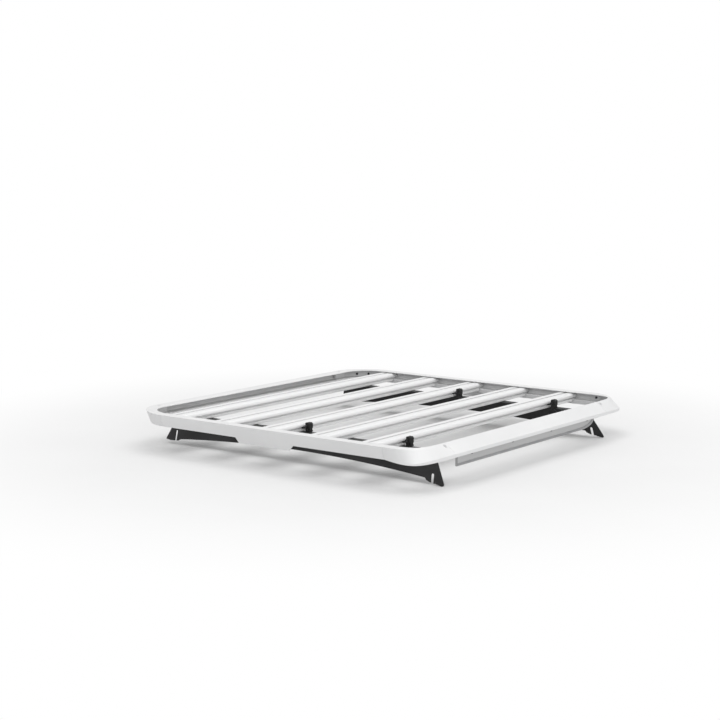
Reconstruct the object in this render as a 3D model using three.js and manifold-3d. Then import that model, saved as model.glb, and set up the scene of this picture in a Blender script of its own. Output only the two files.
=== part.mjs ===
// Roof cargo platform for a pickup or van: a low aluminium frame of four rails and four corner castings,
// five slotted cross slats, two folded foot rails, four slat clamps and a wind deflector.
// Millimetres. +Z up, -Y towards the front of the vehicle, -X is the vehicle's right side.
// The origin is the middle of the underside of the bounding box, at the tips of the front feet.
import * as THREE from "three";
import { mergeVertices } from "three/addons/utils/BufferGeometryUtils.js";
import Module from "manifold-3d";

const wasm = await Module();
wasm.setup();

// ---- driving dimensions -------------------------------------------------------------------------------
const HALF_WIDTH = 645;
const HALF_LENGTH = 613.5;
const TOP = 130.5; // top of the frame
const UNDERSIDE = 88.5; // bottom edge of the side and rear rails
const LEDGE = 104; // floor of the rails' open channel, which carries the slat ends
const WALL = 3;
const GAP = 0.4; // between pieces that touch

const SIDE_SEAM_Y = 461; // ends of the side rails
const REAR_SEAM_X = 518; // ends of the rear rail
const FRONT_SEAM_X = 471; // ends of the front rail

const FACE_UNDERCUT = 16; // how far the outer face leans in from top to bottom
const SIDE_LIP = 36; // width of the flat top of a side rail
const REAR_LIP = 51;
const NOSE_DEPTH = 40.5; // front edge to the inner edge of the front rail
const NOSE_LIP_TOP = 99;
const NOSE_LIP_BOTTOM = 88;

const SLAT_PITCH = 202;
const REAR_SLAT_Y = 440;
const SLAT_COUNT = 5;
const SLAT_TOP = 125;
const SLAT_BOTTOM = 97;
const SLAT_HALF_WIDTH = 34.5;
const SLAT_SHOULDER = 12;
const SLAT_FLOOR = 113; // floor of the slot along the top
const SLAT_END_X = 630.6;
const SLAT_NOTCH_X = 604; // where the bottom of the slat is cut back to lie in the channel

const FLANGE_TOP = 96.6;
const FLANGE_INNER_X = 437;
const FLANGE_OUTER_X = 475;
const FOOT_X = 503; // outer face of a foot plate at ground level
const PLATE = 4;

const CLAMP_X = 441;
const CLAMPED_SLATS = [3, 5];

// ---- helpers ------------------------------------------------------------------------------------------
const finishes = {
  rail: { color: 0xe3e4e6, metalness: 0.35, roughness: 0.42 },
  slat: { color: 0xeeeff0, metalness: 0.35, roughness: 0.36 },
  casting: { color: 0xe0e1e3, metalness: 0.3, roughness: 0.48 },
  deflector: { color: 0xb9babd, metalness: 0.3, roughness: 0.5 },
  steel: { color: 0x2a2b2d, metalness: 0.2, roughness: 0.6 },
  rubber: { color: 0x8b8c8e, metalness: 0, roughness: 0.9 },
  cornerScrew: { color: 0xa9abae, metalness: 0.7, roughness: 0.35 },
  fastener: { color: 0x3a3b3e, metalness: 0.7, roughness: 0.4 },
};

const rack = new THREE.Group();

// A closed three.js geometry as a solid that can be joined and cut, with its faces turned outwards.
function solid(geometry) {
  const bare = new THREE.BufferGeometry();
  bare.setAttribute("position", geometry.getAttribute("position"));
  bare.setIndex(geometry.index);
  const merged = mergeVertices(bare, 1e-4);
  const triangles = new Uint32Array(merged.index.array);
  const build = () =>
    new wasm.Manifold(
      new wasm.Mesh({ numProp: 3, vertProperties: merged.attributes.position.array, triVerts: triangles }),
    );
  const made = build();
  if (made.volume() > 0) return made;
  for (let i = 0; i < triangles.length; i += 3) {
    [triangles[i + 1], triangles[i + 2]] = [triangles[i + 2], triangles[i + 1]];
  }
  return build();
}

// Adds a solid to the rack as a named mesh; mirrored puts it on the other side of the centre line.
function place(name, made, finish, mirrored = false) {
  const { vertProperties, triVerts } = made.getMesh();
  const geometry = new THREE.BufferGeometry();
  geometry.setAttribute("position", new THREE.BufferAttribute(new Float32Array(vertProperties), 3));
  geometry.setIndex(new THREE.BufferAttribute(new Uint32Array(triVerts), 1));
  geometry.computeVertexNormals();
  const material = new THREE.MeshStandardMaterial({ name: finish, ...finishes[finish] });
  const mesh = new THREE.Mesh(geometry, material);
  mesh.name = name;
  if (mirrored) mesh.scale.x = -1;
  rack.add(mesh);
}

// A list of points as a shape, always drawn anticlockwise so that its holes are cut the right way round.
function outline(points) {
  if (points instanceof THREE.Shape) return points;
  const corners = points.map(([u, v]) => new THREE.Vector2(u, v));
  return new THREE.Shape(THREE.ShapeUtils.isClockWise(corners) ? corners.reverse() : corners);
}

function extrude(points, length, holes) {
  const shape = outline(points);
  holes.forEach((hole) => shape.holes.push(outline(hole)));
  return new THREE.ExtrudeGeometry(shape, { depth: length, bevelEnabled: false, curveSegments: 8 });
}

// Prisms of an outline: drawn in (y, z) and run along X, or drawn in (x, z) and run along Y.
function alongX(points, x0, x1, holes = []) {
  const turn = new THREE.Matrix4().makeBasis(
    new THREE.Vector3(0, 1, 0),
    new THREE.Vector3(0, 0, 1),
    new THREE.Vector3(1, 0, 0),
  );
  return solid(extrude(points, x1 - x0, holes).applyMatrix4(turn.setPosition(x0, 0, 0)));
}

function alongY(points, y0, y1, holes = []) {
  const turn = new THREE.Matrix4().makeBasis(
    new THREE.Vector3(1, 0, 0),
    new THREE.Vector3(0, 0, 1),
    new THREE.Vector3(0, -1, 0),
  );
  return solid(extrude(points, y1 - y0, holes).applyMatrix4(turn.setPosition(0, y1, 0)));
}

const box = (x0, x1, y0, y1, z0, z1) =>
  solid(
    new THREE.BoxGeometry(x1 - x0, y1 - y0, z1 - z0).translate((x0 + x1) / 2, (y0 + y1) / 2, (z0 + z1) / 2),
  );

// A round or hexagonal rod standing on (x, y) from z0 to z1.
function rod(radius, sides, x, y, z0, z1) {
  const cylinder = new THREE.CylinderGeometry(radius, radius, z1 - z0, sides);
  return solid(cylinder.rotateX(Math.PI / 2).translate(x, y, (z0 + z1) / 2));
}

// A screw with a low round head and a hexagon socket: head up, the underside of its head at the origin.
function socketScrew(shankRadius, shankLength, headRadius, headHeight) {
  const head = rod(headRadius, 20, 0, 0, 0, headHeight);
  const shank = rod(shankRadius, 12, 0, 0, -shankLength, 0.5);
  const socket = rod(headRadius * 0.5, 6, 0, 0, headHeight * 0.35, headHeight + 1);
  return head.add(shank).subtract(socket);
}

// The hole for such a screw: clearance for its shank and for its head.
function screwSeat(shankRadius, depth, headRadius) {
  return rod(shankRadius, 12, 0, 0, -depth, 1).add(rod(headRadius, 20, 0, 0, -GAP, 8));
}

// Moves each edge of a convex outline inwards by a distance.
function inset(points, distance) {
  const area = points.reduce((sum, [x, y], i) => {
    const [nx, ny] = points[(i + 1) % points.length];
    return sum + x * ny - nx * y;
  }, 0);
  const edges = points.map(([x, y], i) => {
    const [nx, ny] = points[(i + 1) % points.length];
    const run = new THREE.Vector2(nx - x, ny - y).normalize();
    const inward = new THREE.Vector2(-run.y, run.x).multiplyScalar(Math.sign(area) * distance);
    return { from: new THREE.Vector2(x, y).add(inward), run };
  });
  return edges.map((edge, i) => {
    const last = edges[(i + edges.length - 1) % edges.length];
    const across = last.run.cross(edge.run);
    const along = edge.from.clone().sub(last.from).cross(edge.run) / across;
    return last.from.clone().addScaledVector(last.run, along).toArray();
  });
}

// A closed solid through equal rings of points; flat is the end ring's own outline, used to fill both ends.
function loft(rings, flat) {
  const count = rings[0].length;
  const position = rings.flat().flatMap((p) => p.toArray());
  const index = [];
  for (let r = 0; r + 1 < rings.length; r++) {
    for (let i = 0; i < count; i++) {
      const a = r * count + i;
      const b = r * count + ((i + 1) % count);
      index.push(a, b, b + count, a, b + count, a + count);
    }
  }
  const last = (rings.length - 1) * count;
  const clockwise = THREE.ShapeUtils.isClockWise(flat);
  for (const triangle of THREE.ShapeUtils.triangulateShape(flat, [])) {
    const turned = THREE.ShapeUtils.isClockWise(triangle.map((i) => flat[i])) !== clockwise;
    const [a, b, c] = turned ? triangle.reverse() : triangle;
    index.push(c, b, a, last + a, last + b, last + c);
  }
  const geometry = new THREE.BufferGeometry();
  geometry.setAttribute("position", new THREE.Float32BufferAttribute(position, 3));
  return solid(geometry.setIndex(index));
}

// ---- rails --------------------------------------------------------------------------------------------
// Rail sections are drawn as (distance in from the outer edge, z): a closed box at the bottom and an open
// channel over it, under the lip.
const FACE_LEAN = FACE_UNDERCUT / (TOP - UNDERSIDE);
const faceAt = (z) => (TOP - z) * FACE_LEAN;
const webAcross = WALL * Math.hypot(1, FACE_LEAN);
const railSection = (lip) => [
  [faceAt(UNDERSIDE), UNDERSIDE],
  [0, TOP],
  [lip, TOP],
  [lip, TOP - WALL],
  [faceAt(TOP - WALL) + webAcross, TOP - WALL],
  [faceAt(LEDGE) + webAcross, LEDGE],
  [lip, LEDGE],
  [lip, UNDERSIDE],
];
const railBox = (lip) => [
  [faceAt(UNDERSIDE), UNDERSIDE],
  [faceAt(LEDGE), LEDGE],
  [lip, LEDGE],
  [lip, UNDERSIDE],
];

// The front rail's web is the sloping face of the nose.
const NOSE_SLOPE = (TOP - NOSE_LIP_TOP) / NOSE_DEPTH;
const noseTopAt = (inFromFront) => NOSE_LIP_TOP + NOSE_SLOPE * inFromFront;
const noseSheet = WALL * Math.hypot(1, NOSE_SLOPE);
const noseFloorFrom = (LEDGE + noseSheet - NOSE_LIP_TOP) / NOSE_SLOPE;
const noseSection = [
  [0, NOSE_LIP_BOTTOM],
  [0, NOSE_LIP_TOP],
  [NOSE_DEPTH, TOP],
  [NOSE_DEPTH, TOP - noseSheet],
  [noseFloorFrom, LEDGE],
  [NOSE_DEPTH, LEDGE],
  [NOSE_DEPTH, NOSE_LIP_BOTTOM],
];
const noseBox = [
  [0, NOSE_LIP_BOTTOM],
  [0, NOSE_LIP_TOP],
  [(LEDGE - NOSE_LIP_TOP) / NOSE_SLOPE, LEDGE],
  [NOSE_DEPTH, LEDGE],
  [NOSE_DEPTH, NOSE_LIP_BOTTOM],
];

const fromOuterX = (section) => section.map(([a, z]) => [HALF_WIDTH - a, z]);
const fromRear = (section) => section.map(([a, z]) => [HALF_LENGTH - a, z]);
const fromFront = (section) => section.map(([a, z]) => [a - HALF_LENGTH, z]);

const slatY = (number) => REAR_SLAT_Y - SLAT_PITCH * (number - 1);
const slatNumbers = Array.from({ length: SLAT_COUNT }, (_, i) => i + 1);

const SLAT_BOLT_X = 618;
const SLAT_BOLT_ACCESS = 6.2; // the hole in a rail's underside that a bolt's head goes in through
const BOLT_HOLE = 3.4;

// The left rail; its skirt hangs from the middle of the outer face and hides the gap to the roof.
function sideRail() {
  const length = SIDE_SEAM_Y - GAP;
  const chamber = fromOuterX(inset(railBox(SIDE_LIP), WALL));
  let rail = alongY(fromOuterX(railSection(SIDE_LIP)), -length, length, [chamber]);

  const skirtDrop = 19;
  const skirtBottom = UNDERSIDE - skirtDrop;
  const skirtTop = UNDERSIDE + 2;
  const plate = [
    [faceAt(skirtTop), skirtTop],
    [faceAt(skirtBottom), skirtBottom],
    [faceAt(skirtBottom) + WALL, skirtBottom],
    [faceAt(skirtTop) + WALL, skirtTop],
  ];
  const front = { top: -103, bottom: -82 };
  const rear = { top: 139, bottom: 129 };
  const trapezoid = [
    [rear.top + 1, skirtTop],
    [rear.bottom, skirtBottom],
    [front.bottom, skirtBottom],
    [front.top - 2, skirtTop],
  ];
  const skirt = alongY(fromOuterX(plate), front.top - 5, rear.top + 5);
  rail = rail.add(skirt.intersect(alongX(trapezoid, HALF_WIDTH - 60, HALF_WIDTH)));

  for (const number of slatNumbers) {
    rail = rail.subtract(rod(BOLT_HOLE, 12, SLAT_BOLT_X, slatY(number), LEDGE - WALL - 1, LEDGE + 2));
    const access = rod(SLAT_BOLT_ACCESS, 16, SLAT_BOLT_X, slatY(number), UNDERSIDE - 2, UNDERSIDE + WALL + 1);
    rail = rail.subtract(access);
  }
  return rail;
}
place("side_rail_left", sideRail(), "rail");
place("side_rail_right", sideRail(), "rail", true);

// Each corner has one screw: down into the rear rail's end, or square to the nose through the front casting.
const NOSE_TILT = THREE.MathUtils.radToDeg(Math.atan(NOSE_SLOPE));
const REAR_SCREW = { x: 506, y: HALF_LENGTH - 14, z: TOP - 1.6 };
const FRONT_SCREW = { x: 484, in: 30.5, sink: 1.3 };
const atRearScrew = (made, side) => made.translate([side * REAR_SCREW.x, REAR_SCREW.y, REAR_SCREW.z]);
const atFrontScrew = (made) =>
  made
    .translate([0, 0, -FRONT_SCREW.sink])
    .rotate([NOSE_TILT, 0, 0])
    .translate([FRONT_SCREW.x, FRONT_SCREW.in - HALF_LENGTH, noseTopAt(FRONT_SCREW.in)]);
const cornerScrewSeat = screwSeat(3.2, 22, 6.4);

// The rear rail has the side rails' section with a wider lip.
function rearRail() {
  const end = REAR_SEAM_X - GAP;
  const chamber = fromRear(inset(railBox(REAR_LIP), WALL));
  let rail = alongX(fromRear(railSection(REAR_LIP)), -end, end, [chamber]);
  for (const side of [-1, 1]) rail = rail.subtract(atRearScrew(screwSeat(3.2, 6, 6.4), side));
  return rail;
}
place("rear_rail", rearRail(), "rail");

const DEFLECTOR = { y: -583, half: 428, bottom: 52.5, top: 87.6, sheet: 3, turn: 22 };
const DEFLECTOR_SCREW = { xs: [-360, -120, 120, 360], y: DEFLECTOR.y - 13 };

// The front rail is a sloping nose over a short upright lip.
function frontRail() {
  const end = FRONT_SEAM_X - GAP;
  let rail = alongX(fromFront(noseSection), -end, end, [fromFront(inset(noseBox, WALL))]);
  for (const x of DEFLECTOR_SCREW.xs) {
    rail = rail.subtract(rod(BOLT_HOLE, 12, x, DEFLECTOR_SCREW.y, NOSE_LIP_BOTTOM - 1, NOSE_LIP_BOTTOM + 5));
  }
  return rail;
}
place("front_rail", frontRail(), "rail");

// ---- corner castings ----------------------------------------------------------------------------------
// Each corner is an open-bottomed casting that sweeps one rail's section into the other's.
// Guides are plan curves from the side rail's end (t = 0) to the front or rear rail's end (t = 1).
const point = ([x, y, z]) => new THREE.Vector3(x, y, z);
const plan = (...points) => new THREE.CubicBezierCurve3(...points.map(point));
const blend = THREE.MathUtils.lerp;

// A quarter turn between (x0, y0), running along Y, and (x1, y1), running along X; fullness 0.55 is round.
function quarter(x0, y0, x1, y1, fullness, z) {
  return plan([x0, y0, z], [x0, blend(y0, y1, fullness), z], [blend(x1, x0, fullness), y1, z], [x1, y1, z]);
}

// One section of a casting: the rails' open channel over a box that is open from below. The guides' nose goes
// from 0, where the web is a rail's leaning face, to 1, where it is the sloping face of the nose.
function cornerRing(guides, t) {
  const foot = guides.foot.getPoint(t);
  const crease = guides.crease.getPoint(t);
  const inner = guides.inner.getPoint(t);
  const nose = guides.nose * t;
  const inward = new THREE.Vector3(inner.x - foot.x, inner.y - foot.y, 0).normalize();
  const at = (p, shift, z) => p.clone().addScaledVector(inward, shift).setZ(z);
  const lipTop = foot.z + blend(0.8, guides.lip, THREE.MathUtils.smoothstep(t, 0, 1));
  const web = foot.clone().lerp(crease, (LEDGE - lipTop) / (crease.z - lipTop));
  return [
    at(foot, 0, foot.z),
    at(foot, 0, lipTop),
    at(crease, 0, crease.z),
    at(inner, 0, TOP),
    at(inner, 0, TOP - blend(WALL, noseSheet, nose)),
    at(crease, blend(faceAt(TOP - WALL) + webAcross, WALL, nose), crease.z - blend(WALL, 1.4, nose)),
    at(web, blend(webAcross, 4.9, nose), LEDGE),
    at(inner, 0, LEDGE),
    at(inner, 0, UNDERSIDE),
    at(inner, -WALL, UNDERSIDE),
    at(inner, -WALL, LEDGE - WALL),
    at(web, WALL + 1.2, LEDGE - WALL),
    at(foot, WALL + 0.2, foot.z),
  ];
}

function cornerCasting(guides) {
  const steps = 16;
  const rings = Array.from({ length: steps + 1 }, (_, i) => cornerRing(guides, i / steps));
  const flat = rings[0].map((p) => new THREE.Vector2(-p.x, p.z));
  return loft(rings, flat);
}

// Joiner blocks line up the rails and castings. A side joiner fills the end of a rail's box and reaches into
// the casting's; a rear or front joiner stands in the open channel over the seam and takes the corner screw.
const JOINER = { inSide: 13, inRail: 42, inCorner: 15, inNose: 25, railPlay: 0.4, cornerPlay: 3 };

function sideJoiner(sign) {
  const half = (play, from, to) => {
    const span = [sign * (SIDE_SEAM_Y + from), sign * (SIDE_SEAM_Y + to)].sort((a, b) => a - b);
    return alongY(fromOuterX(inset(railBox(SIDE_LIP), WALL + play)), ...span);
  };
  return half(JOINER.railPlay, -JOINER.inSide, 0).add(half(JOINER.cornerPlay, -2, JOINER.inCorner));
}

function rearJoiner() {
  const from = faceAt(LEDGE) + webAcross + 2.5;
  const block = [
    [from, LEDGE + GAP],
    [from - 6, TOP - WALL - GAP],
    [24, TOP - WALL - GAP],
    [24, LEDGE + GAP],
  ];
  const made = alongX(fromRear(block), REAR_SEAM_X - JOINER.inRail, REAR_SEAM_X + JOINER.inCorner);
  return made.subtract(atRearScrew(screwSeat(3.2, 18, 3.2), 1));
}

function frontJoiner() {
  const block = [
    [noseFloorFrom + 4, LEDGE + GAP],
    [NOSE_DEPTH - 1, TOP - noseSheet - 3.2],
    [NOSE_DEPTH - 1, LEDGE + GAP],
  ];
  const made = alongX(fromFront(block), FRONT_SEAM_X - JOINER.inRail, FRONT_SEAM_X + JOINER.inNose);
  return made.subtract(atFrontScrew(screwSeat(3.2, 18, 3.2)));
}

const inX = (a) => HALF_WIDTH - a;
const inRear = (a) => HALF_LENGTH - a;
const inFront = (a) => a - HALF_LENGTH;

const rearGuides = {
  foot: quarter(inX(FACE_UNDERCUT), SIDE_SEAM_Y, REAR_SEAM_X, inRear(FACE_UNDERCUT), 0.48, UNDERSIDE),
  crease: quarter(HALF_WIDTH, SIDE_SEAM_Y, REAR_SEAM_X, HALF_LENGTH, 0.46, TOP),
  inner: quarter(inX(SIDE_LIP), SIDE_SEAM_Y, REAR_SEAM_X, inRear(REAR_LIP), 0.55, TOP),
  lip: 0.8,
  nose: 0,
};
const CREASE_IN = 19; // where the side's outer edge runs out on the nose
const frontGuides = {
  foot: plan(
    [inX(FACE_UNDERCUT), -SIDE_SEAM_Y, UNDERSIDE],
    [inX(-11), inFront(36), UNDERSIDE - 8],
    [inX(-8), inFront(10), NOSE_LIP_BOTTOM - 4],
    [FRONT_SEAM_X, inFront(0), NOSE_LIP_BOTTOM],
  ),
  crease: plan(
    [HALF_WIDTH, -SIDE_SEAM_Y, TOP],
    [HALF_WIDTH, inFront(72), TOP],
    [inX(34), inFront(30), TOP - 6],
    [FRONT_SEAM_X, inFront(CREASE_IN), noseTopAt(CREASE_IN)],
  ),
  inner: quarter(inX(SIDE_LIP), -SIDE_SEAM_Y, FRONT_SEAM_X, inFront(NOSE_DEPTH), 0.9, TOP),
  lip: NOSE_LIP_TOP - NOSE_LIP_BOTTOM,
  nose: 1,
};

const frontCorner = cornerCasting(frontGuides).subtract(atFrontScrew(cornerScrewSeat));
const cornerScrew = socketScrew(2.8, 16, 5.8, 1.5);
for (const [side, mirrored] of [["left", false], ["right", true]]) {
  place(`rear_corner_${side}`, cornerCasting(rearGuides), "casting", mirrored);
  place(`front_corner_${side}`, frontCorner, "casting", mirrored);
  place(`rear_joiner_${side}`, rearJoiner(), "casting", mirrored);
  place(`front_joiner_${side}`, frontJoiner(), "casting", mirrored);
  place(`side_rear_joiner_${side}`, sideJoiner(1), "casting", mirrored);
  place(`side_front_joiner_${side}`, sideJoiner(-1), "casting", mirrored);
  place(`rear_corner_screw_${side}`, atRearScrew(cornerScrew, 1), "cornerScrew", mirrored);
  place(`front_corner_screw_${side}`, atFrontScrew(cornerScrew), "cornerScrew", mirrored);
}

// ---- cross slats --------------------------------------------------------------------------------------
// A slat is an extrusion: a slot along its top, rounded shoulders, a groove along each side and a chamber.
function slatSection() {
  const mouth = 4.3;
  const slotHalf = 9;
  const slotTop = SLAT_TOP - 3;
  const groove = { top: 112, bottom: 106, depth: 8 };
  const half = SLAT_HALF_WIDTH;
  const arcSteps = 6;
  const shoulder = Array.from({ length: arcSteps + 1 }, (_, i) => {
    const angle = Math.PI / 2 - ((Math.PI / 2) * i) / arcSteps;
    return [
      half - SLAT_SHOULDER + SLAT_SHOULDER * Math.cos(angle),
      SLAT_TOP - SLAT_SHOULDER + SLAT_SHOULDER * Math.sin(angle),
    ];
  });
  const right = [
    [slotHalf, SLAT_FLOOR],
    [slotHalf, slotTop],
    [mouth, slotTop],
    [mouth, SLAT_TOP],
    ...shoulder,
    [half, groove.top],
    [half - groove.depth, groove.top],
    [half - groove.depth, groove.bottom],
    [half, groove.bottom],
    [half, SLAT_BOTTOM + 2],
    [half - 2, SLAT_BOTTOM],
  ];
  return [...right, ...right.map(([y, z]) => [-y, z]).reverse()];
}

function slat(number) {
  const y = slatY(number);
  const section = slatSection().map(([u, z]) => [u + y, z]);
  const chamber = [
    [y - 22, SLAT_BOTTOM + WALL],
    [y + 22, SLAT_BOTTOM + WALL],
    [y + 22, SLAT_FLOOR - 4.5],
    [y - 22, SLAT_FLOOR - 4.5],
  ];
  let made = alongX(section, -SLAT_END_X, SLAT_END_X, [chamber]);
  for (const side of [-1, 1]) {
    const [x0, x1] = [SLAT_NOTCH_X, SLAT_END_X + 5].map((x) => side * x).sort((a, b) => a - b);
    made = made.subtract(box(x0, x1, y - 60, y + 60, SLAT_BOTTOM - 5, LEDGE + GAP));
    made = made.subtract(rod(BOLT_HOLE, 12, side * SLAT_BOLT_X, y, LEDGE - 2, SLAT_FLOOR + 2));
  }
  return made;
}

// A screw up from inside the side rail's box into a square nut in the slat's top slot.
function slatBolt(number) {
  const y = slatY(number);
  const seat = LEDGE - WALL - GAP;
  const head = rod(5.5, 16, SLAT_BOLT_X, y, seat - 3.4, seat);
  const shank = rod(3, 12, SLAT_BOLT_X, y, seat - 1, SLAT_FLOOR + 4);
  const nut = box(SLAT_BOLT_X - 7, SLAT_BOLT_X + 7, y - 7, y + 7, SLAT_FLOOR + GAP, SLAT_FLOOR + 5.4);
  return head.add(shank).add(nut);
}
for (const number of slatNumbers) {
  place(`slat_${number}`, slat(number), "slat");
  place(`slat_bolt_left_${number}`, slatBolt(number), "fastener");
  place(`slat_bolt_right_${number}`, slatBolt(number), "fastener", true);
}

// ---- foot rails ---------------------------------------------------------------------------------------
// Folded steel plate: a flange under the slats and a leaning web that arches over the roof between two feet.
const footLean = (FOOT_X - FLANGE_OUTER_X) / FLANGE_TOP;
const webAt = (z) => FLANGE_OUTER_X + (FLANGE_TOP - z) * footLean;

function footSlot(y, top, width, tilt) {
  const half = width / 2;
  const lower = -20;
  const shape = new THREE.Shape();
  shape.absarc(y, top - half, half, 0, Math.PI, false);
  shape.lineTo(y - half + tilt, lower);
  shape.lineTo(y + half + tilt, lower);
  return alongX(shape, FLANGE_OUTER_X - 20, FOOT_X + 20);
}

function footRail() {
  const archAt = (y) => 42 - 8.7e-5 * y * y;
  const archSteps = 26;
  const archFrom = 502;
  const archTo = -518;
  const arch = Array.from({ length: archSteps + 1 }, (_, i) => {
    const y = blend(archFrom, archTo, i / archSteps);
    return [y, archAt(y)];
  });
  const side = [
    [538, FLANGE_TOP],
    [573, 19],
    [573.5, 15.5],
    [571, 13.9],
    [559, 13.2],
    [555, 11.8],
    [519, 13.6],
    [511, 18],
    ...arch,
    [-523, 12.5],
    [-536, 7.6],
    [-556, 4.6],
    [-559, 5.6],
    [-563, 3.6],
    [-583, 0],
    [-588, 1],
    [-589.6, 5],
    [-587.5, 10],
    [-537, FLANGE_TOP],
  ];
  const inner = PLATE / Math.cos(Math.atan(footLean));
  const fold = [
    [FLANGE_INNER_X, FLANGE_TOP],
    [FLANGE_INNER_X, FLANGE_TOP - PLATE],
    [webAt(FLANGE_TOP - PLATE) - inner, FLANGE_TOP - PLATE],
    [webAt(0) - inner, 0],
    [webAt(0), 0],
    [webAt(FLANGE_TOP), FLANGE_TOP],
  ];
  let rail = alongY(fold, -595, 580).intersect(alongX(side, FLANGE_INNER_X - 5, FOOT_X + 10));
  rail = rail.subtract(footSlot(-544, 34, 10.5, -5));
  rail = rail.subtract(footSlot(531, 48, 8.5, -3));
  for (const number of CLAMPED_SLATS) {
    rail = rail.subtract(rod(BOLT_HOLE, 12, CLAMP_X, clampScrewY(number), FLANGE_TOP - 6, FLANGE_TOP + 2));
  }
  return rail;
}

// ---- slat clamps --------------------------------------------------------------------------------------
// A block that stands on the foot rail's flange and reaches a tongue into the groove of a slat.
// A screw sunk in its top pulls it down to the flange; a cross bolt pinches its two cheeks.
const CLAMP = { width: 19, depth: 17, top: 127.5, standoff: 10, waist: 3, pinchZ: 115 };
const clampBack = (number) => slatY(number) - SLAT_HALF_WIDTH - CLAMP.standoff;
const clampScrewY = (number) => clampBack(number) - 11;
const clampPinchY = (number) => clampBack(number) - 3.8;

// A round or hexagonal rod lying along X.
function crossRod(radius, sides, x0, x1, y, z) {
  const cylinder = new THREE.CylinderGeometry(radius, radius, x1 - x0, sides);
  return solid(cylinder.rotateZ(Math.PI / 2).translate((x0 + x1) / 2, y, z));
}

function clampBlock(number) {
  const back = clampBack(number);
  const tip = back + CLAMP.standoff + 6;
  const base = FLANGE_TOP + GAP;
  const front = back - CLAMP.depth;
  const profile = [
    [back, base],
    [back, 107.4],
    [tip, 107.4],
    [tip, 110.8],
    [back, 110.8],
    [back, CLAMP.top - 2],
    [back - 2, CLAMP.top],
    [front + 4, CLAMP.top],
    [front, CLAMP.top - 4],
    [front, base],
  ];
  const half = CLAMP.width / 2;
  const notch = (side) => {
    const edge = CLAMP_X + side * half;
    return box(edge - CLAMP.waist, edge + CLAMP.waist, front - 1, back - 12, 102, 109);
  };
  const screwHole = screwSeat(3, 40, 5.2).translate([CLAMP_X, clampScrewY(number), CLAMP.top - 4]);
  const pinchHole = crossRod(2.4, 12, CLAMP_X - 30, CLAMP_X + 30, clampPinchY(number), CLAMP.pinchZ);
  const block = alongX(profile, CLAMP_X - half, CLAMP_X + half);
  return block.subtract(notch(-1)).subtract(notch(1)).subtract(pinchHole).subtract(screwHole);
}

function clampScrew(number) {
  const y = clampScrewY(number);
  const screw = socketScrew(2.6, 38, 4.7, 3.4).translate([CLAMP_X, y, CLAMP.top - 4]);
  return screw.add(rod(5.6, 6, CLAMP_X, y, FLANGE_TOP - PLATE - 5, FLANGE_TOP - PLATE - GAP));
}

function clampPinchBolt(number) {
  const half = CLAMP.width / 2 + GAP;
  const at = [clampPinchY(number), CLAMP.pinchZ];
  return crossRod(2, 10, CLAMP_X - half - 8, CLAMP_X + half + 3, ...at)
    .add(crossRod(4.6, 6, CLAMP_X - half - 5, CLAMP_X - half, ...at))
    .add(crossRod(4.8, 16, CLAMP_X + half, CLAMP_X + half + 5, ...at));
}

for (const [side, mirrored] of [["left", false], ["right", true]]) {
  place(`foot_rail_${side}`, footRail(), "steel", mirrored);
  for (const number of CLAMPED_SLATS) {
    place(`clamp_${side}_${number}`, clampBlock(number), "steel", mirrored);
    place(`clamp_screw_${side}_${number}`, clampScrew(number), "fastener", mirrored);
    place(`clamp_pinch_bolt_${side}_${number}`, clampPinchBolt(number), "fastener", mirrored);
  }
}

// ---- wind deflector -----------------------------------------------------------------------------------
function deflectorOutline(grow) {
  const end = DEFLECTOR.half + grow;
  const low = DEFLECTOR.bottom - grow;
  const corner = Math.max(1, 4 + grow);
  const shape = new THREE.Shape();
  shape.moveTo(-end, DEFLECTOR.top);
  shape.lineTo(-end, low + corner);
  shape.quadraticCurveTo(-end, low, -end + corner, low);
  shape.lineTo(end - 107, low);
  shape.bezierCurveTo(end - 50, low, end - 8, low + 5, end, low + 28);
  shape.lineTo(end, DEFLECTOR.top);
  return shape;
}

// A plate hung under the front rail; its top edge is folded forward and screwed to the rail's underside.
function deflector() {
  const { y, half, top, sheet, turn } = DEFLECTOR;
  const plate = alongY(deflectorOutline(0), y - sheet, y);
  const flange = box(-half, half, y - turn, y, top - sheet, top);
  let made = plate.add(flange);
  for (const x of DEFLECTOR_SCREW.xs) {
    made = made.subtract(rod(BOLT_HOLE, 12, x, DEFLECTOR_SCREW.y, top - sheet - 1, top + 1));
  }
  return made;
}

// A rubber edging pushed over the plate's free edge.
function deflectorTrim() {
  const { y, half, sheet, bottom } = DEFLECTOR;
  const grip = 6;
  const around = alongY(deflectorOutline(2), y - sheet - 1.6, y + 1.6);
  const window = alongY(deflectorOutline(-grip), y - sheet - 3, y + 3);
  const above = box(-half - 10, half + 10, y - 20, y + 20, bottom + 28, bottom + 60);
  const leftOfPlate = box(-half - 10, -half + 2, y - 20, y + 20, bottom - 10, bottom + 60);
  const slot = alongY(deflectorOutline(0.3), y - sheet - 0.3, y + 0.3);
  return around.subtract(window).subtract(above).subtract(leftOfPlate).subtract(slot);
}
place("wind_deflector", deflector(), "deflector");
const deflectorScrew = socketScrew(2.8, 14, 5.5, 3).rotate([180, 0, 0]);
const deflectorScrewZ = DEFLECTOR.top - DEFLECTOR.sheet - GAP;
DEFLECTOR_SCREW.xs.forEach((x, i) => {
  const screw = deflectorScrew.translate([x, DEFLECTOR_SCREW.y, deflectorScrewZ]);
  place(`deflector_screw_${i + 1}`, screw, "fastener");
});
place("deflector_edging", deflectorTrim(), "rubber");

export default rack;
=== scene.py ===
import math

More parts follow.
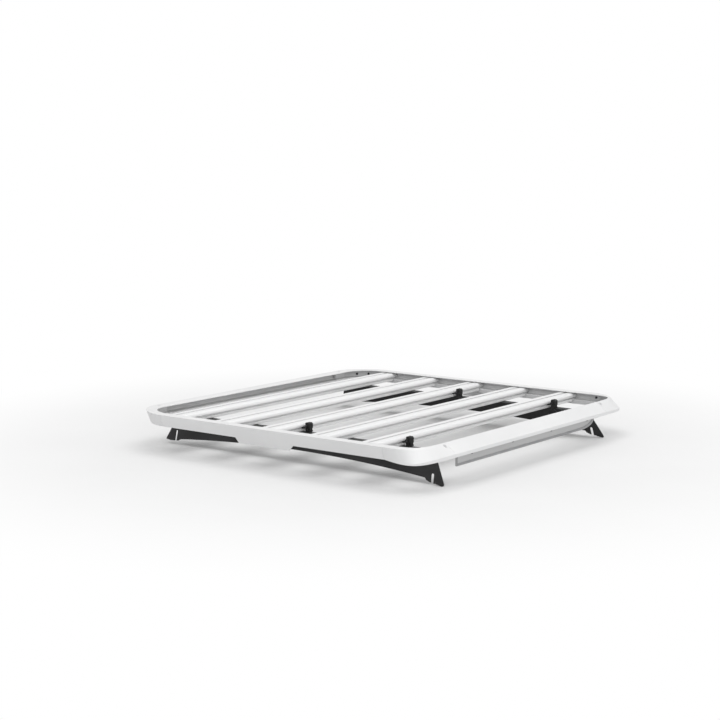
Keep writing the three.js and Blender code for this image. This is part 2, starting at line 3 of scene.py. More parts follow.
import bpy
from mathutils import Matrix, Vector


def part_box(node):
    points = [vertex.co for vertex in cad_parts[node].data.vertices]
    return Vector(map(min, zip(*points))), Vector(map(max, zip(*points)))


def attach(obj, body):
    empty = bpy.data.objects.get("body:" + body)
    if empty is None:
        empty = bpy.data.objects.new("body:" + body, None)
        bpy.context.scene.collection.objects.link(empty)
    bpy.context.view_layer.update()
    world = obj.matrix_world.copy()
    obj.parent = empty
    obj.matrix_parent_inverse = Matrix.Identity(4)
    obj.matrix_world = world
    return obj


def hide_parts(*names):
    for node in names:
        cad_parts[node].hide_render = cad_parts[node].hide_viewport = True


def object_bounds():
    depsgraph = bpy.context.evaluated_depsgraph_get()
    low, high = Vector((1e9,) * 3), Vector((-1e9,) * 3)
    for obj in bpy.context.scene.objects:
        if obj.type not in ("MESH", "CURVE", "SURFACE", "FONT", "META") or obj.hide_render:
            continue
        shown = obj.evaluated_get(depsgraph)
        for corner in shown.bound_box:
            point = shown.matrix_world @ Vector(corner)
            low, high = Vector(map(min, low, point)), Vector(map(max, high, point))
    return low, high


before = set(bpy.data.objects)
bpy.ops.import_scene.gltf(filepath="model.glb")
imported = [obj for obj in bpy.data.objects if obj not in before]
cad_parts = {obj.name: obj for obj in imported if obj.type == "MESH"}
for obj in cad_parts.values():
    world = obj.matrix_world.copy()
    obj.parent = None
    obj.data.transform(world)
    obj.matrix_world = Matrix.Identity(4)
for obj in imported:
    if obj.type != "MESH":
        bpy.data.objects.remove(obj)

# ---- Camera, floor and light --------------------------------------------------------------------
# The platform stands on its feet on a plain pale floor, seen from above its front right corner.
# A broad lamp overhead, a low one behind the camera and a pale room light it softly.
cad_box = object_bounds()
bpy.ops.object.camera_add(
    location=(-4.469, -3.285, 1.0625),
    rotation=(math.radians(90 - 8.006), 0, math.radians(-52.782)),
)
camera = bpy.context.object
camera.data.lens = 80.6
camera.data.sensor_width = 36
bpy.context.scene.camera = camera
bpy.context.scene.view_settings.view_transform = "Standard"

bpy.ops.object.light_add(type="AREA", location=(0, -0.4, 5))
overhead_lamp = bpy.context.object
overhead_lamp.data.shape = "SQUARE"
overhead_lamp.data.size = 6
overhead_lamp.data.energy = 180

bpy.ops.object.light_add(type="AREA", location=(-5.5, -6.5, 1.5))
fill_lamp = bpy.context.object
fill_lamp.rotation_euler = (Vector((0, 0, 0.1)) - fill_lamp.location).to_track_quat("-Z", "Y").to_euler()
fill_lamp.data.shape = "SQUARE"
fill_lamp.data.size = 4
fill_lamp.data.energy = 130


class Wire:
    """A socket on a material's sheet of nodes; sums on wires add their Math nodes."""

    def __init__(self, sheet, socket=None):
        self.sheet = sheet
        self.socket = socket

    def node(self, kind, settings=None, sockets=None, out=0):
        """Adds a node, sets it up, feeds its sockets and returns one of its outputs."""
        made = self.sheet.nodes.new(kind)
        for setting, value in (settings or {}).items():
            if setting == "stops":
                lay_stops(made.color_ramp.elements, value)
            else:
                setattr(made, setting, value)
        for socket, value in (sockets or {}).items():
            if isinstance(value, Wire):
                self.sheet.links.new(value.socket, made.inputs[socket])
            else:
                made.inputs[socket].default_value = value
        return Wire(self.sheet, made.outputs[out])

    def feed(self, shader, socket):
        self.sheet.links.new(self.socket, shader.inputs[socket])

    def maths(self, operation, *values):
        return self.node("ShaderNodeMath", {"operation": operation}, dict(enumerate(values)))

    def __add__(self, other):
        return self.maths("ADD", self, other)

    def __rsub__(self, other):
        return self.maths("SUBTRACT", other, self)

    def __mul__(self, other):
        return self.maths("MULTIPLY", self, other)

    __radd__ = __add__
    __rmul__ = __mul__


def lay_stops(elements, stops):
    elements[0].position, elements[0].color = stops[0][0], (*stops[0][1], 1)
    elements[1].position, elements[1].color = stops[-1][0], (*stops[-1][1], 1)
    for position, color in stops[1:-1]:
        elements.new(position).color = (*color, 1)


room = bpy.data.worlds.new("pale_room")
room.use_nodes = True
bpy.context.scene.world = room
room_glow = room.node_tree.nodes["Background"]
room_sheet = Wire(room.node_tree)
seen_by_camera = room_sheet.node("ShaderNodeLightPath", out="Is Camera Ray")
looking = room_sheet.node("ShaderNodeTexCoord", out="Generated")
rearward = room_sheet.node("ShaderNodeSeparateXYZ", None, {"Vector": looking}, out="Y")
room_light = 0.78 - 0.12 * rearward
(room_light + seen_by_camera * (1 - room_light)).feed(room_glow, "Strength")
room_glow.inputs["Color"].default_value = (1, 1, 1, 1)

bpy.ops.object.select_all(action="DESELECT")
bpy.ops.mesh.primitive_plane_add(size=70, location=(0, 0, cad_box[0].z))
floor = bpy.context.object
floor.name = "floor"
pale_floor = bpy.data.materials.new("pale_floor")
pale_floor.use_nodes = True
floor.data.materials.append(pale_floor)
floor_sheet = Wire(pale_floor.node_tree)
floor_shader = pale_floor.node_tree.nodes["Principled BSDF"]
floor_shader.inputs["Specular IOR Level"].default_value = 0.15
floor_place = floor_sheet.node("ShaderNodeTexCoord", out="Object")
floor_mottle = floor_sheet.node(
    "ShaderNodeTexNoise", None, {"Vector": floor_place, "Scale": 2.5, "Detail": 4}
)
floor_mottle.node(
    "ShaderNodeValToRGB",
    {"stops": [(0.3, (0.69, 0.69, 0.69)), (0.7, (0.705, 0.705, 0.705))]},
    {"Fac": floor_mottle},
).feed(floor_shader, "Base Color")
(0.62 + 0.1 * floor_mottle).feed(floor_shader, "Roughness")
floor_reach = floor_sheet.node("ShaderNodeVectorMath", {"operation": "LENGTH"}, {0: floor_place}, out=1)
floor_sweep = floor_sheet.node(
    "ShaderNodeMapRange",
    {"interpolation_type": "SMOOTHSTEP"},
    {"Value": floor_reach, "From Min": 0.7, "From Max": 1.9},
)
floor_glow = floor_sheet.node("ShaderNodeEmission", None, {"Color": (1, 1, 1, 1), "Strength": 1.0})
floor_blend = floor_sheet.node(
    "ShaderNodeMixShader",
    None,
    {0: floor_sweep, 1: Wire(floor_sheet.sheet, floor_shader.outputs[0]), 2: floor_glow},
)
floor_blend.feed(pale_floor.node_tree.nodes["Material Output"], "Surface")

# ---- Side rails ---------------------------------------------------------------------------------
# Extruded aluminium under a silver powder coat: a leaning outer face and an open channel that the
# slats' ends lie in. The box below it is drawn solid, without its hollow and the bolts' access holes.
# A skirt at mid length hides the gap to the roof.
MM = 0.001
TOP, LEDGE, UNDERSIDE, WALL = 130.5, 104, 88.5, 3
LEAN = 16
side_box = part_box("side_rail_left")
SIDE_OUT, SIDE_LIP = side_box[1].x / MM, (side_box[1].x - side_box[0].x) / MM
SKIRT = {"bottom": side_box[0].z / MM, "thick": 3, "rear": (139, 129), "front": (-103, -82)}


def select_only(piece):
    bpy.ops.object.select_all(action="DESELECT")
    piece.select_set(True)
    bpy.context.view_layer.objects.active = piece


def pick_faces(piece, wanted):
    """Leaves edit mode with just those faces selected whose middle and normal pass the test."""
    select_only(piece)
    bpy.ops.object.mode_set(mode="EDIT")
    bpy.ops.mesh.select_mode(type="FACE")
    bpy.ops.mesh.select_all(action="DESELECT")
    bpy.ops.object.mode_set(mode="OBJECT")
    for face in piece.data.polygons:
        face.select = wanted(face.center / MM, face.normal)
    bpy.ops.object.mode_set(mode="EDIT")


def push(step):
    """Extrudes what is selected by a step in millimetres."""
    bpy.ops.mesh.extrude_region_move(TRANSFORM_OT_translate={"value": Vector(step) * MM})


def cut_across(piece, at, normal):
    select_only(piece)
    bpy.ops.object.mode_set(mode="EDIT")
    bpy.ops.mesh.select_all(action="SELECT")
    bpy.ops.mesh.bisect(plane_co=Vector(at) * MM, plane_no=normal)
    bpy.ops.object.mode_set(mode="OBJECT")


def drawn_bar(name, outline, run, start, stop):
    """Draws an outline point by point from a plane's corner, fills it and extrudes it along X or Y."""

    def spot(point, along):
        return Vector((along, *point) if run == "X" else (point[0], along, point[1])) * MM

    bpy.ops.object.select_all(action="DESELECT")
    bpy.ops.mesh.primitive_plane_add(size=MM, location=spot(outline[0], start))
    bar = bpy.context.object
    bar.name = bar.data.name = name
    bpy.ops.object.mode_set(mode="EDIT")
    bpy.ops.mesh.select_mode(type="VERT")
    bpy.ops.mesh.select_all(action="SELECT")
    bpy.ops.mesh.merge(type="CENTER")
    for before, after in zip(outline, outline[1:]):
        step = spot(after, start) - spot(before, start)
        bpy.ops.mesh.extrude_region_move(TRANSFORM_OT_translate={"value": step})
    bpy.ops.mesh.select_all(action="SELECT")
    bpy.ops.mesh.edge_face_add()
    length = spot(outline[0], stop) - spot(outline[0], start)
    bpy.ops.mesh.extrude_region_move(TRANSFORM_OT_translate={"value": length})
    bpy.ops.mesh.select_all(action="SELECT")
    bpy.ops.mesh.normals_make_consistent(inside=False)
    bpy.ops.object.mode_set(mode="OBJECT")
    bpy.ops.object.transform_apply(location=True)
    return bar


def copied(piece, name, step=(0, 0, 0), mirrored=False):
    """A copy with its own mesh, moved by a step or turned over the centre line."""
    select_only(piece)
    bpy.ops.object.duplicate()
    twin = bpy.context.object
    twin.name = twin.data.name = name
    bpy.ops.object.mode_set(mode="EDIT")
    bpy.ops.mesh.select_all(action="SELECT")
    bpy.ops.transform.translate(value=Vector(step) * MM)
    if mirrored:
        bpy.ops.transform.resize(value=(-1, 1, 1), center_override=(0, 0, 0))
        bpy.ops.mesh.normals_make_consistent(inside=False)
    bpy.ops.object.mode_set(mode="OBJECT")
    return twin


def apply_modifier(piece, kind, **settings):
    select_only(piece)
    bpy.ops.object.modifier_add(type=kind)
    modifier = piece.modifiers[-1]
    for setting, value in settings.items():
        setattr(modifier, setting, value)
    bpy.ops.object.modifier_apply(modifier=modifier.name)


def fitted(piece, finish, node, edge=0.8, steps=2, sharp=30):
    """Rounds a piece's edges, gives it its finish and puts it in the place of its CAD node."""
    apply_modifier(
        piece,
        "BEVEL",
        width=edge * MM,
        segments=steps,
        limit_method="ANGLE",
        angle_limit=math.radians(sharp),
        miter_outer="MITER_ARC",
    )
    bpy.ops.object.shade_smooth_by_angle(angle=math.radians(40))
    apply_modifier(piece, "WEIGHTED_NORMAL", keep_sharp=True, weight=80)
    piece.data.materials.clear()
    piece.data.materials.append(finish)
    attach(piece, "root")
    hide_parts(node)


def finish_sheet(name, **steady):
    """A new material: its shader with the sockets that are the same all over, and Object coordinates."""
    material = bpy.data.materials.new(name)
    material.use_nodes = True
    shader = material.node_tree.nodes["Principled BSDF"]
    for socket, value in steady.items():
        shader.inputs[socket.replace("_", " ")].default_value = value
    return material, shader, Wire(material.node_tree).node("ShaderNodeTexCoord", out="Object")


def noise(place, scale, detail=2.0, stretch=None):
    """Noise of a number of waves in a metre, drawn out along an axis where stretch says so."""
    if stretch:
        place = place.node("ShaderNodeMapping", None, {"Vector": place, "Scale": stretch})
    return place.node("ShaderNodeTexNoise", None, {"Vector": place, "Scale": scale, "Detail": detail})


def tinted(mask, dark, light):
    return mask.node("ShaderNodeValToRGB", {"stops": [(0.3, dark), (0.7, light)]}, {"Fac": mask})


def mixed(factor, first, second):
    return factor.node("ShaderNodeMix", {"data_type": "RGBA"}, {0: factor, 6: first, 7: second}, out=2)


def relief(height, shader, strength, depth):
    """Feeds a height in metres times depth to the shader as bump."""
    height.node("ShaderNodeBump", None, {"Height": height, "Strength": strength, "Distance": depth}).feed(
        shader, "Normal"
    )


def powder_coat(name, dark, light, grain, gloss):
    """Satin powder coat: fine orange peel, faint clouding and handling smudges, dust on level faces."""
    material, shader, place = finish_sheet(name, Metallic=0.12, IOR=1.5)
    peel = noise(place, grain, 3.0)
    cloud = noise(place, 5.0, 5.0)
    smudge = noise(place, 23.0, 6.0, (1.0, 1.6, 1.0))
    facing = place.node("ShaderNodeNewGeometry", out="Normal")
    upward = place.node("ShaderNodeSeparateXYZ", None, {"Vector": facing}, out="Z")
    level = place.node("ShaderNodeMapRange", None, {"Value": upward, "From Min": 0.75, "From Max": 1.0})
    dust = level * place.node(
        "ShaderNodeMapRange", None, {"Value": smudge, "From Min": 0.42, "From Max": 0.68}
    )
    coat = tinted(cloud * 0.7 + peel * 0.3, dark, light)
    mixed(dust * 0.22, coat, (0.80, 0.79, 0.77, 1)).feed(shader, "Base Color")
    (gloss + 0.12 * smudge + 0.1 * dust + 0.06 * peel).feed(shader, "Roughness")
    relief(peel + 0.15 * cloud, shader, 0.35, 0.0004)
    return material


silver_coat = powder_coat("silver_coat", (0.65, 0.652, 0.655), (0.705, 0.706, 0.708), 1150, 0.34)

face_lean = LEAN / (TOP - UNDERSIDE)
web_across = WALL * math.hypot(1, face_lean)


def rail_section(lip):
    """A rail's outline as (distance in from its outer edge, height)."""
    return [
        (LEAN, UNDERSIDE),
        (0, TOP),
        (lip, TOP),
        (lip, TOP - WALL),
        (WALL * face_lean + web_across, TOP - WALL),
        ((TOP - LEDGE) * face_lean + web_across, LEDGE),
        (lip, LEDGE),
        (lip, UNDERSIDE),
        (LEAN + SKIRT["thick"], UNDERSIDE),
    ]


skirt_lean = (UNDERSIDE - SKIRT["bottom"]) * face_lean
side_outline = [(SIDE_OUT - inward, z) for inward, z in rail_section(SIDE_LIP)]
side_rail = drawn_bar("side_rail_shape", side_outline, "Y", side_box[0].y / MM, side_box[1].y / MM)
for end in ("rear", "front"):
    cut_across(side_rail, (0, SKIRT[end][0], 0), (0, 1, 0))


def under_skirt(middle, normal):
    inside = SKIRT["front"][0] < middle.y < SKIRT["rear"][0]
    return inside and normal.z < -0.9 and middle.x > SIDE_OUT - LEAN - SKIRT["thick"]


pick_faces(side_rail, under_skirt)
push((-skirt_lean, 0, SKIRT["bottom"] - UNDERSIDE))
bpy.ops.object.mode_set(mode="OBJECT")
for end in ("rear", "front"):
    top_y, bottom_y = SKIRT[end]
    bpy.ops.object.mode_set(mode="EDIT")
    bpy.ops.mesh.select_mode(type="VERT")
    bpy.ops.mesh.select_all(action="DESELECT")
    bpy.ops.object.mode_set(mode="OBJECT")
    for vertex in side_rail.data.vertices:
        low = vertex.co.z / MM < UNDERSIDE - 5
        vertex.select = low and abs(vertex.co.y / MM - top_y) < 1
    bpy.ops.object.mode_set(mode="EDIT")
    bpy.ops.transform.translate(value=(0, (bottom_y - top_y) * MM, 0))
    bpy.ops.object.mode_set(mode="OBJECT")
side_rail_twin = copied(side_rail, "side_rail_right_shape", mirrored=True)
fitted(side_rail, silver_coat, "side_rail_left")
fitted(side_rail_twin, silver_coat, "side_rail_right")

# ---- Rear rail ----------------------------------------------------------------------------------
# The same extrusion with a wider lip, screwed to the rear corners from above. Its box is drawn solid,
# without the hollow inside.
rear_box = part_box("rear_rail")
REAR_OUT, REAR_LIP = rear_box[1].y / MM, (rear_box[1].y - rear_box[0].y) / MM
rear_rail = drawn_bar(
    "rear_rail_shape",
    [(REAR_OUT - inward, z) for inward, z in rail_section(REAR_LIP)],
    "X",
    rear_box[0].x / MM,
    rear_box[1].x / MM,
)


def bored(piece, radius, low, high):
    """Cuts a round hole between two points with a boolean."""
    low, high = Vector(low) * MM, Vector(high) * MM
    bpy.ops.object.select_all(action="DESELECT")
    bpy.ops.mesh.primitive_cylinder_add(
        vertices=28,
        radius=radius * MM,
        depth=(high - low).length,
        location=(low + high) / 2,
        rotation=(high - low).to_track_quat("Z", "Y").to_euler(),
    )
    drill = bpy.context.object
    apply_modifier(piece, "BOOLEAN", operation="DIFFERENCE", object=drill, solver="EXACT")
    bpy.data.objects.remove(drill)


for screw in ("rear_corner_screw_left", "rear_corner_screw_right"):
    low, high = (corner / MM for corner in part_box(screw))
    middle = (low + high) / 2
    bored(rear_rail, 6.4, (middle.x, middle.y, TOP - 1.6), (middle.x, middle.y, TOP + 5))
fitted(rear_rail, silver_coat, "rear_rail")

# ---- Front rail ---------------------------------------------------------------------------------
# The nose of the platform: a broad face that slopes up over a short upright lip. Its box is drawn
# solid, without its hollow and the deflector screws' holes.
front_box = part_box("front_rail")
NOSE_OUT, NOSE_DEPTH = front_box[0].y / MM, (front_box[1].y - front_box[0].y) / MM
NOSE_BOTTOM, NOSE_LIP = 88, 99
nose_slope = (TOP - NOSE_LIP) / NOSE_DEPTH
nose_sheet = WALL * math.hypot(1, nose_slope)
nose_steps = [
    (0, NOSE_BOTTOM),
    (0, NOSE_LIP),
    (NOSE_DEPTH, TOP),
    (NOSE_DEPTH, TOP - nose_sheet),
    ((LEDGE + nose_sheet - NOSE_LIP) / nose_slope, LEDGE),
    (NOSE_DEPTH, LEDGE),
    (NOSE_DEPTH, NOSE_BOTTOM),
]
front_rail = drawn_bar(
    "front_rail_shape",
    [(NOSE_OUT + inward, z) for inward, z in nose_steps],
    "X",
    front_box[0].x / MM,
    front_box[1].x / MM,
)
fitted(front_rail, silver_coat, "front_rail")

# ---- Corner castings ----------------------------------------------------------------------------
# Aluminium castings that sweep one rail's section into the next, with the same silver coat over a
# slightly coarser skin. Blocks pressed into the rails' ends line them up.
cast_coat = powder_coat("cast_coat", (0.64, 0.642, 0.645), (0.695, 0.696, 0.698), 760, 0.36)


def merged_copy(node, name):
    """A copy of a CAD node's solid with its loose triangles joined into clean faces."""
    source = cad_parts[node]
    piece = bpy.data.objects.new(name, source.data.copy())
    piece.data.name = name
    bpy.context.collection.objects.link(piece)
    select_only(piece)
    bpy.ops.object.mode_set(mode="EDIT")
    bpy.ops.mesh.select_all(action="SELECT")
    bpy.ops.mesh.remove_doubles(threshold=1e-5)
    bpy.ops.mesh.tris_convert_to_quads(face_threshold=math.radians(25), shape_threshold=math.radians(180))
    bpy.ops.mesh.dissolve_limited(angle_limit=math.radians(0.2))
    bpy.ops.object.mode_set(mode="OBJECT")
    if piece.data.has_custom_normals:
        bpy.ops.mesh.customdata_custom_splitnormals_clear()
    return piece


corners = {}
for end in ("rear", "front"):
    for side in ("left", "right"):
        casting = f"{end}_corner_{side}"
        corners[casting] = merged_copy(casting, f"{casting}_shape")
        fitted(corners[casting], cast_coat, casting, edge=0.7, steps=2, sharp=24)
for node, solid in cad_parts.items():
    if "joiner" in node:
        solid.data.materials.clear()
        solid.data.materials.append(cast_coat)

# ---- Cross slats --------------------------------------------------------------------------------
# Anodised extrusions: a slot along the top for sliding bolts, rounded shoulders, a groove along each
# side, and fine die lines along the whole length. Their ends are notched to lie in the side rails. They
# are drawn without the chamber and the bolt holes inside.
slat_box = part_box("slat_1")
SLAT_TOP, SLAT_BOTTOM = slat_box[1].z / MM, slat_box[0].z / MM
SLAT_HALF = (slat_box[1].y - slat_box[0].y) / 2 / MM
SLAT_END, SLAT_NOTCH = slat_box[1].x / MM, 604
slat_middle = (slat_box[1].y + slat_box[0].y) / 2 / MM
SHOULDER, SHOULDER_STEPS = 12, 9
shoulder = [
    (
        SLAT_HALF - SHOULDER + SHOULDER * math.sin(math.pi / 2 * i / SHOULDER_STEPS),
        SLAT_TOP - SHOULDER + SHOULDER * math.cos(math.pi / 2 * i / SHOULDER_STEPS),
    )
    for i in range(SHOULDER_STEPS + 1)
]
half_slat = [
    (9, 113), (9, SLAT_TOP - 3), (4.3, SLAT_TOP - 3), (4.3, SLAT_TOP), *shoulder,
    (SLAT_HALF, 112), (SLAT_HALF - 8, 112), (SLAT_HALF - 8, 106), (SLAT_HALF, 106),
    (SLAT_HALF, SLAT_BOTTOM + 2), (SLAT_HALF - 2, SLAT_BOTTOM),
]
slat_outline = half_slat + [(-u, z) for u, z in reversed(half_slat)]
slat = drawn_bar(
    "slat_shape", [(slat_middle + u, z) for u, z in slat_outline], "X", -SLAT_NOTCH, SLAT_NOTCH
)
cut_across(slat, (0, 0, LEDGE + 0.4), (0, 0, 1))
for direction in (-1, 1):
    pick_faces(slat, lambda middle, normal: normal.x * direction > 0.9 and middle.z > LEDGE + 0.4)
    push((direction * (SLAT_END - SLAT_NOTCH), 0, 0))
    bpy.ops.object.mode_set(mode="OBJECT")


def anodised(name):
    """Satin anodised aluminium: die lines along X, faint bands between them, a few dry water marks."""
    material, shader, place = finish_sheet(name, IOR=1.5)
    die_lines = noise(place, 1.0, 3.0, (1.2, 900.0, 900.0))
    bands = noise(place, 1.0, 2.0, (0.8, 140.0, 140.0))
    marks = noise(place, 16.0, 6.0)
    scuffs = noise(place, 1.0, 8.0, (30.0, 420.0, 60.0))
    scuff = place.node("ShaderNodeMapRange", None, {"Value": scuffs, "From Min": 0.62, "From Max": 0.8})
    tone = tinted(bands * 0.6 + die_lines * 0.4, (0.74, 0.741, 0.743), (0.80, 0.801, 0.802))
    mixed(scuff * 0.35, tone, (0.9, 0.9, 0.9, 1)).feed(shader, "Base Color")
    (0.18 + 0.14 * bands).feed(shader, "Metallic")
    (0.26 + 0.14 * marks + 0.1 * die_lines + 0.1 * scuff).feed(shader, "Roughness")
    relief(die_lines + 0.4 * bands, shader, 0.3, 0.0003)
    return material


satin_anodised = anodised("satin_anodised")
for number in range(2, 6):
    middle = sum(corner.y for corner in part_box(f"slat_{number}")) / 2 / MM
    twin = copied(slat, f"slat_{number}_shape", (0, middle - slat_middle, 0))
    fitted(twin, satin_anodised, f"slat_{number}", edge=0.5)
slat.name = slat.data.name = "slat_1_shape"
fitted(slat, satin_anodised, "slat_1", edge=0.5)

# ---- Foot rails ---------------------------------------------------------------------------------
# Folded steel plate with a fine-textured black powder coat: a flange under the slats and a leaning
# web that arches over the roof, with an open slot in each foot.
foot_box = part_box("foot_rail_left")
FLANGE_TOP = foot_box[1].z / MM
FLANGE_IN, FLANGE_OUT, FOOT_OUT = foot_box[0].x / MM, 475, 503
PLATE, FOLD = 4, 6.5
foot_lean = (FOOT_OUT - FLANGE_OUT) / FLANGE_TOP
web_angle = math.atan(foot_lean)
web_inset = PLATE / math.cos(web_angle)


def web_x(z):
    return FLANGE_OUT + (FLANGE_TOP - z) * foot_lean


def fold_arc(radius, centre, steps=6):
    """The bend between the level flange and the leaning web, from the flange to the web."""
    swing = math.pi / 2 - web_angle
    return [
        (centre[0] + radius * math.sin(swing * i / steps), centre[1] + radius * math.cos(swing * i / steps))
        for i in range(steps + 1)
    ]


fold_back = FOLD * math.tan((math.pi / 2 - web_angle) / 2)
fold_centre = (FLANGE_OUT - fold_back, FLANGE_TOP - FOLD)
fold_outline = [
    (FLANGE_IN, FLANGE_TOP),
    *fold_arc(FOLD, fold_centre),
    (web_x(0), 0),
    (web_x(0) - web_inset, 0),
    *reversed(fold_arc(FOLD - PLATE, fold_centre)),
    (FLANGE_IN, FLANGE_TOP - PLATE),
]


def arch(y):
    return 42 - 8.7e-5 * y * y


ARCH_STEPS = 60
arch_line = [502 - 1020 * i / ARCH_STEPS for i in range(ARCH_STEPS + 1)]
foot_outline = [
    (538, FLANGE_TOP + 1), (573, 19), (573.5, 15.5), (571, 13.9), (559, 13.2), (555, 11.8), (519, 13.6),
    (511, 18), *[(y, arch(y)) for y in arch_line], (-523, 12.5), (-536, 7.6), (-556, 4.6), (-559, 5.6),
    (-563, 3.6), (-583, 0), (-588, 1), (-589.6, 5), (-587.5, 10), (-537, FLANGE_TOP + 1),
]


def slot_outline(y, top, width, tilt):
    """An open-ended slot with a round top, whose lower end leans by tilt."""
    half = width / 2
    round_top = [
        (y + half * math.cos(math.pi * i / 12), top - half + half * math.sin(math.pi * i / 12))
        for i in range(13)
    ]
    return [*round_top, (y - half + tilt, -20), (y + half + tilt, -20)]


def combined(piece, tool, operation):
    apply_modifier(piece, "BOOLEAN", operation=operation, object=tool, solver="EXACT")
    bpy.data.objects.remove(tool)


foot_rail = drawn_bar("foot_rail_shape", fold_outline, "Y", -595, 580)
foot_side = drawn_bar("foot_side", foot_outline, "X", FLANGE_IN - 10, FOOT_OUT + 10)
combined(foot_rail, foot_side, "INTERSECT")
for slot_at in ((-544, 34, 10.5, -5), (531, 48, 8.5, -3)):
    slot_tool = drawn_bar("slot_tool", slot_outline(*slot_at), "X", FLANGE_OUT - 20, FOOT_OUT + 20)
    combined(foot_rail, slot_tool, "DIFFERENCE")
foot_rail_twin = copied(foot_rail, "foot_rail_right_shape", mirrored=True)


def black_coat(name, tone, dusty, speck):
    """Fine-textured black powder coat: a pebbled skin, greyer where it faces up and gathers dust."""
    material, shader, place = finish_sheet(name, IOR=1.48)
    pebble = place.node("ShaderNodeTexVoronoi", None, {"Vector": place, "Scale": 1400.0})
    haze = noise(place, 9.0, 6.0)
    facing = place.node("ShaderNodeNewGeometry", out="Normal")
    upward = place.node("ShaderNodeSeparateXYZ", None, {"Vector": facing}, out="Z")
    level = place.node("ShaderNodeMapRange", None, {"Value": upward, "From Min": 0.5, "From Max": 1.0})
    base = tinted(haze, [0.8 * c for c in tone], [speck * c for c in tone])
    mixed(level * haze * dusty, base, (0.2, 0.196, 0.188, 1)).feed(shader, "Base Color")
    (0.5 + 0.18 * haze + 0.1 * pebble).feed(shader, "Roughness")
    relief(pebble + 0.2 * haze, shader, 0.5, 0.00035)
    return material


textured_black = black_coat("textured_black", (0.012, 0.0121, 0.0124), 0.03, 1.5)
fitted(foot_rail, textured_black, "foot_rail_left", edge=0.5)
fitted(foot_rail_twin, textured_black, "foot_rail_right", edge=0.5)

# ---- Slat clamps --------------------------------------------------------------------------------
# Black anodised blocks that stand on the foot rails' flanges, reach a tongue into a slat's groove and
# are pinched by a cross bolt.
clamp_black = black_coat("clamp_black", (0.004, 0.004, 0.0042), 0.01, 1.5)
for side in ("left", "right"):
    for number in (3, 5):
        block = merged_copy(f"clamp_{side}_{number}", f"clamp_{side}_{number}_shape")
        fitted(block, clamp_black, f"clamp_{side}_{number}", edge=0.6)

# ---- Wind deflector -----------------------------------------------------------------------------
# Folded aluminium sheet with a grey coat, hung under the nose, with a rubber edging pushed over its
# lower edge. One end is square and the other sweeps up.
deflector_grey = powder_coat("deflector_grey", (0.44, 0.441, 0.443), (0.49, 0.491, 0.493), 1150, 0.36)
deflector = merged_copy("wind_deflector", "wind_deflector_shape")
fitted(deflector, deflector_grey, "wind_deflector", edge=0.6)


def matt_rubber(name):
    material, shader, place = finish_sheet(name, IOR=1.45)
    grain = noise(place, 1800, 3.0)
    bloom = noise(place, 14.0, 5.0)
    tinted(bloom, (0.27, 0.272, 0.277), (0.34, 0.342, 0.347)).feed(shader, "Base Color")
    (0.72 + 0.15 * bloom).feed(shader, "Roughness")
    relief(grain, shader, 0.4, 0.0002)
    return material


edging_rubber = matt_rubber("edging_rubber")
edging = merged_copy("deflector_edging", "deflector_edging_shape")
fitted(edging, edging_rubber, "deflector_edging", edge=0.5)


# ---- Screws and bolts ---------------------------------------------------------------------------
# Button-head socket screws of zinc-plated steel at the corners' tops, and black ones under the
# deflector, in the slats' slots and in the clamps. The clamps' cross bolts are black too.
def plated(name, dark, light, gloss):
    """Plated steel: cloudy plating, fine turning marks and a bump from both."""
    material, shader, place = finish_sheet(name, Metallic=0.75, IOR=1.5)
    plating = noise(place, 260.0, 4.0)
    turning = noise(place, 1.0, 2.0, (1600.0, 1600.0, 90.0))
    tinted(plating, dark, light).feed(shader, "Base Color")
    (gloss + 0.22 * plating + 0.08 * turning).feed(shader, "Roughness")
    relief(turning + 0.5 * plating, shader, 0.3, 0.0002)
    return material


black_zinc = plated("black_zinc", (0.03, 0.03, 0.033), (0.075, 0.075, 0.08), 0.3)
bright_zinc = plated("bright_zinc", (0.6, 0.603, 0.608), (0.7, 0.702, 0.705), 0.26)
for node in sorted(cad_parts):
    if "screw" in node or "bolt" in node:
        fastener = merged_copy(node, f"{node}_shape")
        fitted(fastener, bright_zinc if "corner_screw" in node else black_zinc, node, edge=0.35)

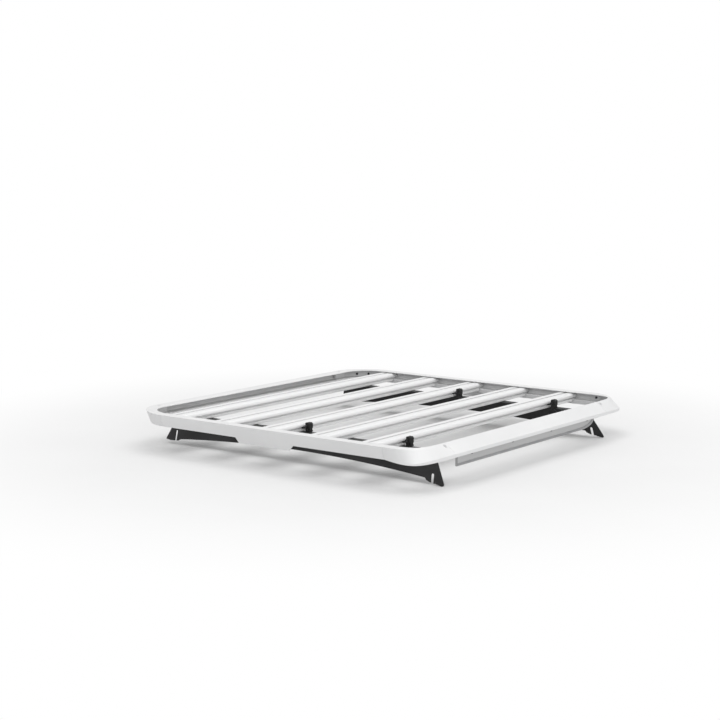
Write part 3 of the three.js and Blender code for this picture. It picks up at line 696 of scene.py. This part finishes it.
# ---- Joiner screws ------------------------------------------------------------------------------
# Black button-head screws in the corner castings' inner walls: two in each rear corner, one in each
# front corner. Only their heads are made, let a little way into the walls.
BUTTON = {"radius": 4.6, "height": 2.4, "socket": 2.2, "sunk": 1.3, "let_in": 0.2}


def button_screw(name, seat, facing):
    """A button head on a wall: a cylinder with a domed edge and a hexagon socket."""
    turn = facing.to_track_quat("Z", "Y").to_euler()
    bpy.ops.object.select_all(action="DESELECT")
    bpy.ops.mesh.primitive_cylinder_add(
        vertices=32,
        radius=BUTTON["radius"] * MM,
        depth=BUTTON["height"] * MM,
        location=(seat + facing * (BUTTON["height"] / 2 - BUTTON["let_in"])) * MM,
        rotation=turn,
    )
    button = bpy.context.object
    button.name = button.data.name = name
    bpy.ops.object.transform_apply(location=True, rotation=True)
    pick_faces(button, lambda middle, normal: normal.dot(facing) > 0.99)
    bpy.ops.mesh.bevel(offset=1.5 * MM, segments=4)
    bpy.ops.object.mode_set(mode="OBJECT")
    bpy.ops.object.select_all(action="DESELECT")
    bpy.ops.mesh.primitive_cylinder_add(
        vertices=6,
        radius=BUTTON["socket"] * MM,
        depth=2 * BUTTON["sunk"] * MM,
        location=(seat + facing * (BUTTON["height"] - BUTTON["let_in"])) * MM,
        rotation=turn,
    )
    combined(button, bpy.context.object, "DIFFERENCE")
    apply_modifier(button, "BEVEL", width=0.15 * MM, segments=2, limit_method="ANGLE", angle_limit=0.6)
    bpy.ops.object.shade_smooth_by_angle(angle=math.radians(40))
    button.data.materials.append(black_zinc)
    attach(button, "root")


JOINER_SCREWS = {
    "rear_side": ("rear_corner_left", (590, 533, 113), (1, 0, 0)),
    "rear_end": ("rear_corner_left", (586, 560, 113), (0, 1, 0)),
    "front_side": ("front_corner_left", (600, -481, 114.5), (1, 0, 0)),
}
for place_name, (casting, start, towards) in JOINER_SCREWS.items():
    _, seat, facing, _ = corners[casting].ray_cast(Vector(start) * MM, Vector(towards))
    seat, facing = seat / MM, facing.normalized()
    button_screw(f"joiner_screw_{place_name}_left", seat, facing)
    seat.x, facing.x = -seat.x, -facing.x
    button_screw(f"joiner_screw_{place_name}_right", seat, facing)
